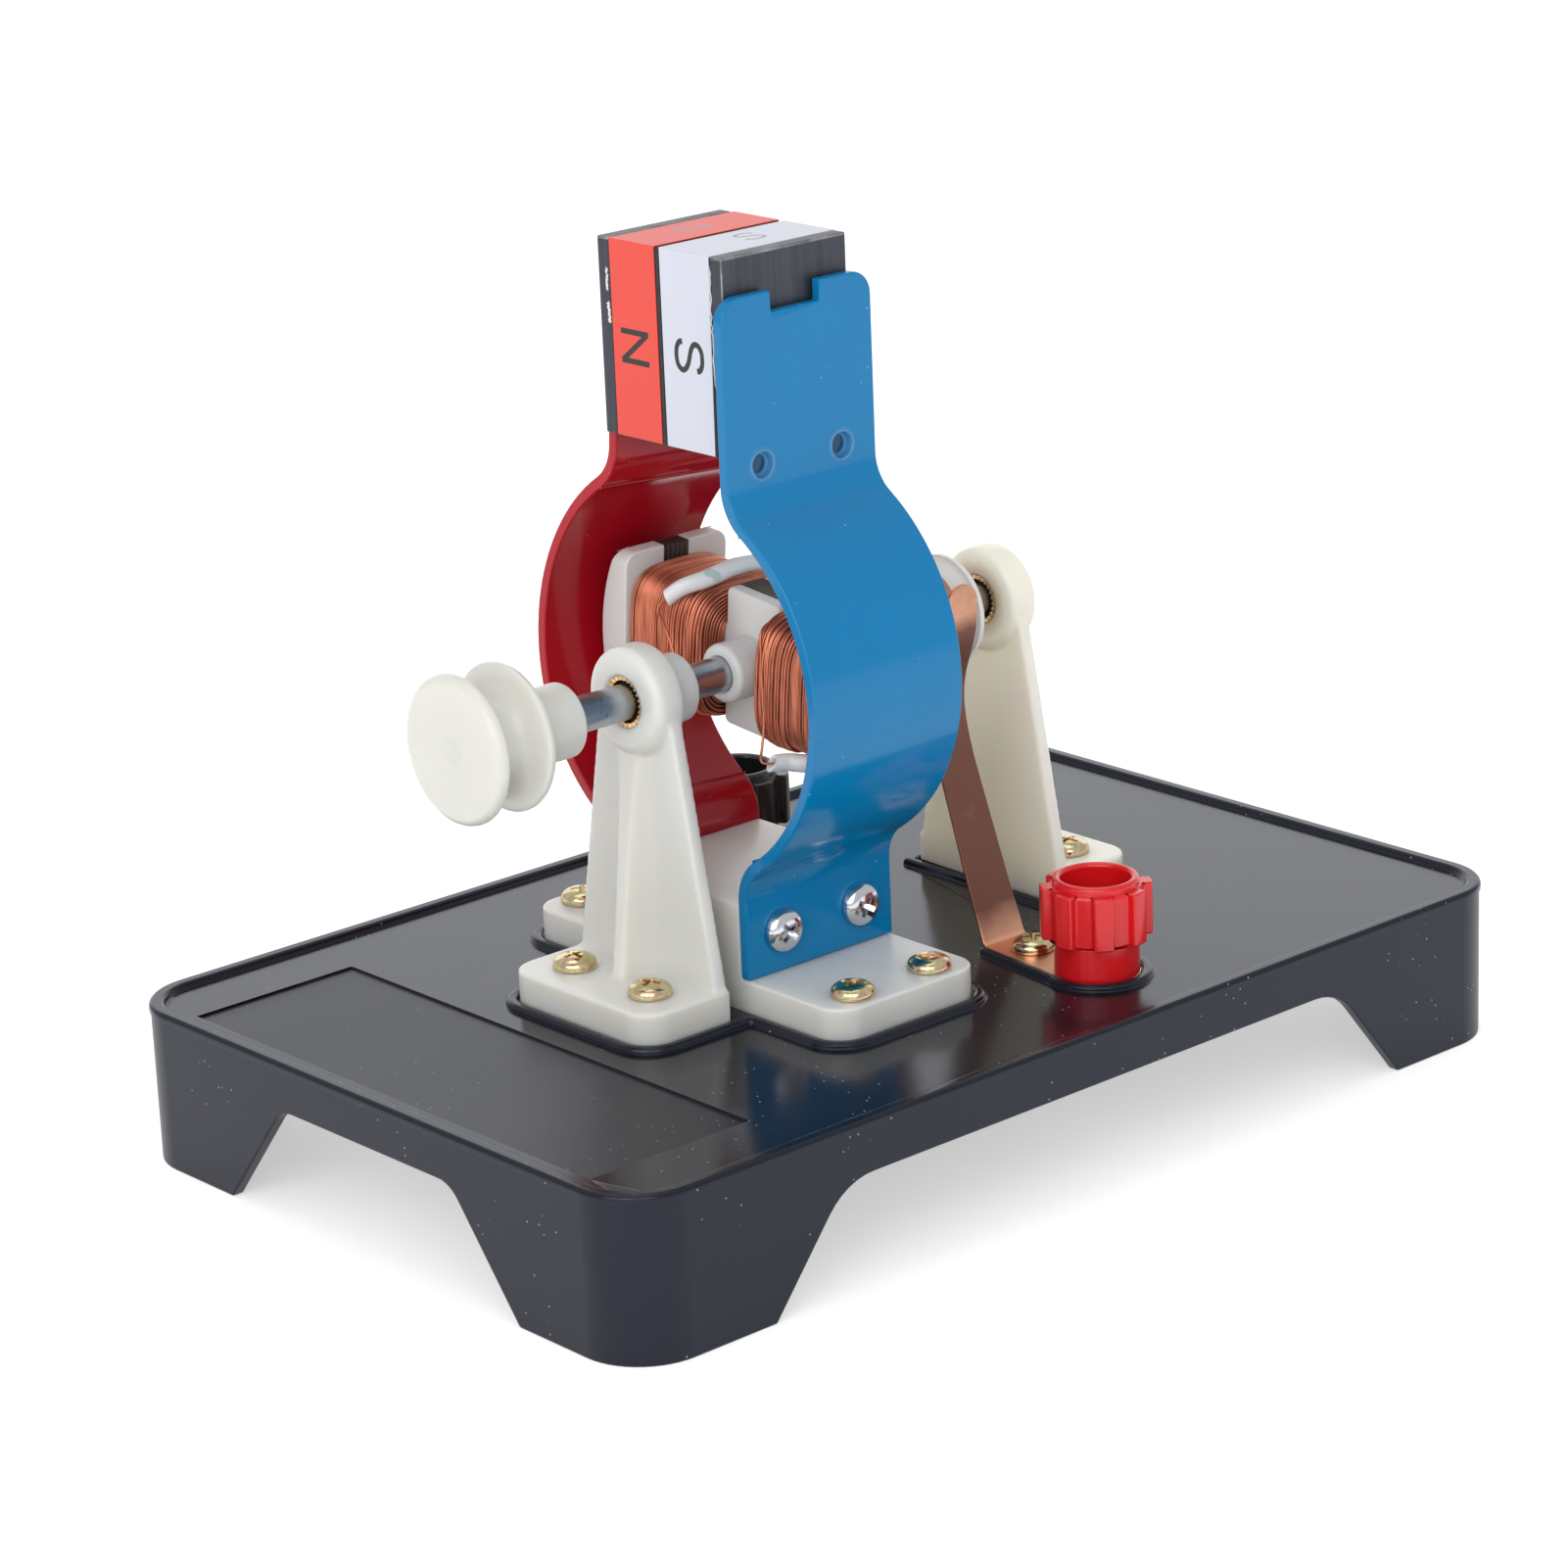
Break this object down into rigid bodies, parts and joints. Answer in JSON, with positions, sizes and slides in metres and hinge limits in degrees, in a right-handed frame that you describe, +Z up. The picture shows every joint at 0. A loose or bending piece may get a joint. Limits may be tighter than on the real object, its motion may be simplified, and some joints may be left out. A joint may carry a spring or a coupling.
{
  "type": "demonstration electric motor",
  "caption": "Teaching model of a direct-current motor: a wound armature on a shaft with a pulley turns between pole strips under a lift-out magnet stack, with leaf brushes and terminals.",
  "frame": {"origin": "centre of the base's footprint, on the surface that the base stands on", "axes": "+X along the shaft, from the pulley towards the commutator; -Y towards the blue pole strip and the red terminal; +Z up"},
  "size_m": [0.2, 0.132, 0.1521],
  "materials": {
    "base_plastic": "moulded, nearly black, satin gloss",
    "cream_plastic": "moulded, cream, satin gloss",
    "pulley_plastic": "moulded, ivory, slightly translucent",
    "white_plastic": "moulded, off-white",
    "blue_paint": "glossy stove enamel",
    "red_paint": "glossy stove enamel",
    "bright_screw": "bright zinc plating",
    "yellow_zinc": "yellow passivated zinc plating",
    "zinc_nut": "zinc plated",
    "bronze": "sintered, matt",
    "steel": "ground bar",
    "magnet": "dark ferrite, matt",
    "dark_iron": "blackened, matt",
    "red_film": "printed film",
    "white_film": "printed film",
    "lamination": "stacked sheet, cut edges",
    "copper_wire": "enamelled wire",
    "copper": "bare copper sheet",
    "sleeve": "translucent tubing",
    "red_plastic": "moulded red",
    "black_plastic": "moulded black",
    "brass": "turned"
  },
  "bodies": {
    "stand": {"base": "base_plastic", "front_post": "cream_plastic", "rear_post": "cream_plastic", "front_bush": "bronze", "rear_bush": "bronze", "magnet_stand": "cream_plastic", "blue_pole_strip": "blue_paint", "red_pole_strip": "red_paint", "strip_screws": "bright_screw", "stand_screws": "yellow_zinc", "post_screws": "yellow_zinc", "brush_screws": "yellow_zinc", "base_nuts": "zinc_nut", "red_side_brush": "copper", "black_side_brush": "copper", "red_terminal_collar": "red_plastic", "black_terminal_collar": "black_plastic", "terminal_studs": "brass", "terminal_nuts": "zinc_nut"},
    "rotor": {"shaft": "steel", "pulley": "pulley_plastic", "shaft_collar": "cream_plastic", "armature_front": "white_plastic", "armature_rear": "white_plastic", "laminations": "lamination", "coil_a": "copper_wire", "coil_b": "copper_wire", "coil_a_turns": "copper_wire", "coil_b_turns": "copper_wire", "sleeve_a": "sleeve", "sleeve_b": "sleeve", "commutator_hub": "white_plastic", "segment_a": "copper", "segment_b": "copper"},
    "magnet_stack": {"magnet_n": "magnet", "magnet_s": "magnet", "outer_plate_n": "dark_iron", "outer_plate_s": "dark_iron", "label_n": "red_film", "label_s": "white_film"},
    "red_lift": {"red_insert": "brass"},
    "red_barrel": {"red_knob": "red_plastic"},
    "black_lift": {"black_insert": "brass"},
    "black_barrel": {"black_knob": "black_plastic"}
  },
  "joints": [
    {"name": "rotor_spin", "type": "hinge", "parent": "stand", "child": "rotor", "pos_m": [0, 0, 0.0794], "axis": [1, 0, 0], "continuous": true},
    {"name": "magnet_lift", "type": "slide", "parent": "stand", "child": "magnet_stack", "axis": [0, 0, 1], "range_m": [0, 0.03]},
    {"name": "red_knob_lift", "type": "slide", "parent": "stand", "child": "red_lift", "axis": [0, 0, 1], "range_m": [0, 0.004]},
    {"name": "red_knob_turn", "type": "hinge", "parent": "red_lift", "child": "red_barrel", "pos_m": [0.0196, -0.045, 0.036], "axis": [0, 0, 1], "range_deg": [0, 1440]},
    {"name": "black_knob_lift", "type": "slide", "parent": "stand", "child": "black_lift", "axis": [0, 0, 1], "range_m": [0, 0.004]},
    {"name": "black_knob_turn", "type": "hinge", "parent": "black_lift", "child": "black_barrel", "pos_m": [0.0196, 0.045, 0.036], "axis": [0, 0, 1], "range_deg": [0, 1440]}
  ],
  "couplings": [
    {"joint": "red_knob_lift", "follows": "red_knob_turn", "m_per_rad": 0.00015914},
    {"joint": "black_knob_lift", "follows": "black_knob_turn", "m_per_rad": 0.00015914}
  ]
}
